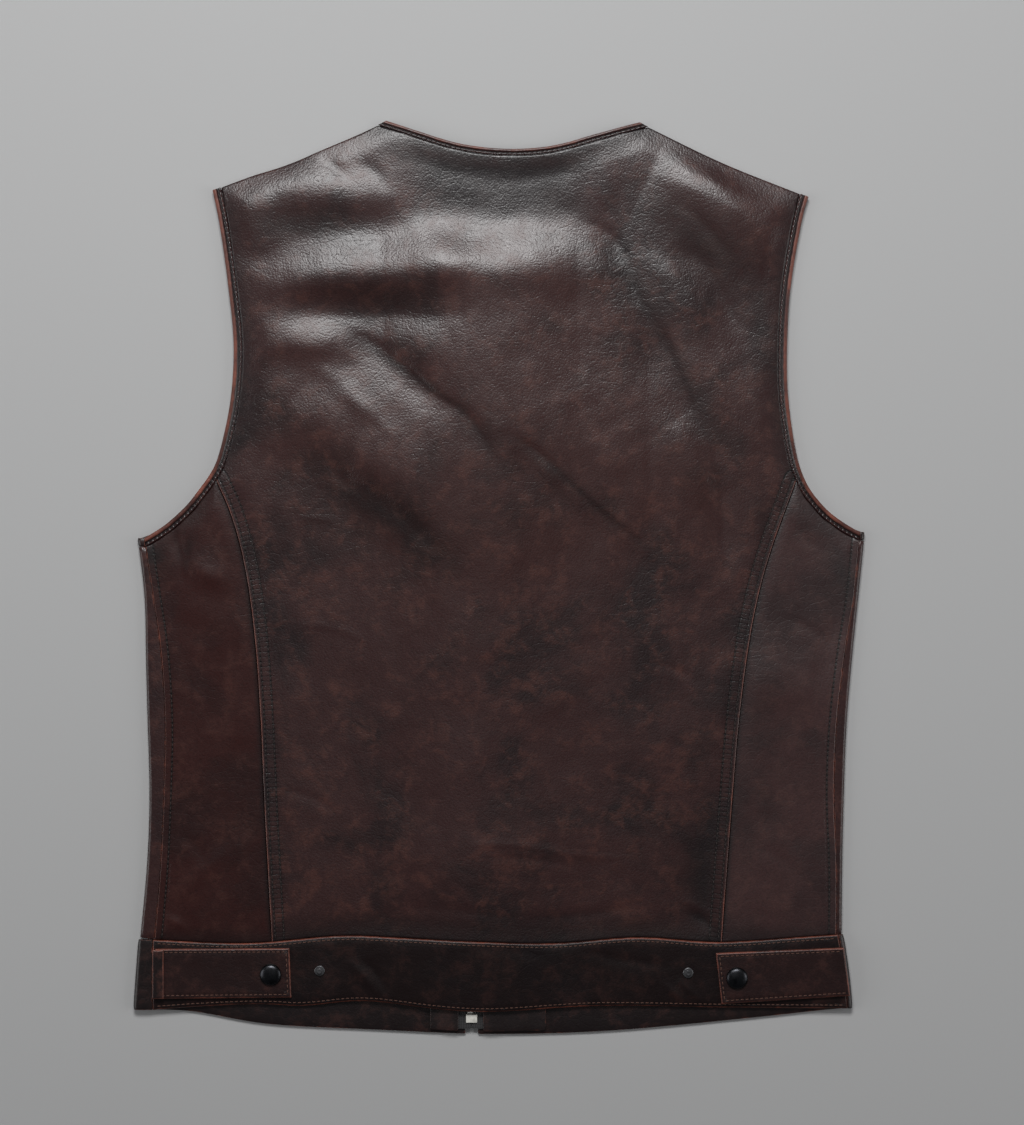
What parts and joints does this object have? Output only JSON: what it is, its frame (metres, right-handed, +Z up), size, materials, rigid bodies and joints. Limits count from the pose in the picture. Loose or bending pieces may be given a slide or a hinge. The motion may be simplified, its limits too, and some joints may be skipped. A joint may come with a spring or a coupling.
{
  "type": "leather vest",
  "caption": "Collarless leather vest lying face down: princess seams, bound neck and armholes, a waistband with snap tabs, and a zip down its front.",
  "frame": {"origin": "middle of the bounding box's floor face: under the middle of the back, on the surface that the vest lies on", "axes": "+Y from the hem to the neck, +Z up from the surface, through the fronts to the back, +X to the wearer's right"},
  "size_m": [0.5148, 0.6428, 0.0124],
  "materials": {
    "leather_back": "worn, softly glossy, grained",
    "leather_side": "worn, softly glossy, smoother",
    "leather_front": "worn, softly glossy, grained",
    "leather_band": "worn, softly glossy, near black",
    "leather_binding": "worn to red-brown at its edge",
    "leather_facing": "dull",
    "zip_tape": "woven",
    "snap_metal": "gunmetal, satin",
    "zip_metal": "satin"
  },
  "bodies": {
    "vest": {"back_centre": "leather_back", "back_side_left": "leather_side", "back_side_right": "leather_side", "front_left": "leather_front", "front_right": "leather_front", "facing_left": "leather_facing", "facing_right": "leather_facing", "waistband_back": "leather_band", "waistband_front_left": "leather_band", "waistband_front_right": "leather_band", "tab_left": "leather_band", "tab_right": "leather_band", "tab_root_strip_left": "leather_band", "neck_binding_back": "leather_binding", "neck_binding_front_left": "leather_binding", "neck_binding_front_right": "leather_binding", "armhole_binding_back_left": "leather_binding", "armhole_binding_back_right": "leather_binding", "armhole_binding_front_left": "leather_binding", "armhole_binding_front_right": "leather_binding", "snap_cap_left": "snap_metal", "snap_cap_right": "snap_metal", "snap_stud_left": "snap_metal", "snap_stud_right": "snap_metal", "zip_tape_left": "zip_tape", "zip_tape_right": "zip_tape", "zip_chain": "zip_metal", "zip_box": "zip_metal", "zip_slider": "zip_metal"},
    "zip_pull": {"zip_pull": "zip_metal"}
  },
  "joints": [
    {"name": "zip_pull_hinge", "type": "hinge", "parent": "vest", "child": "zip_pull", "pos_m": [-0.0193, 0.195, 0.0012], "axis": [1, 0, 0], "range_deg": [0, 170]}
  ]
}
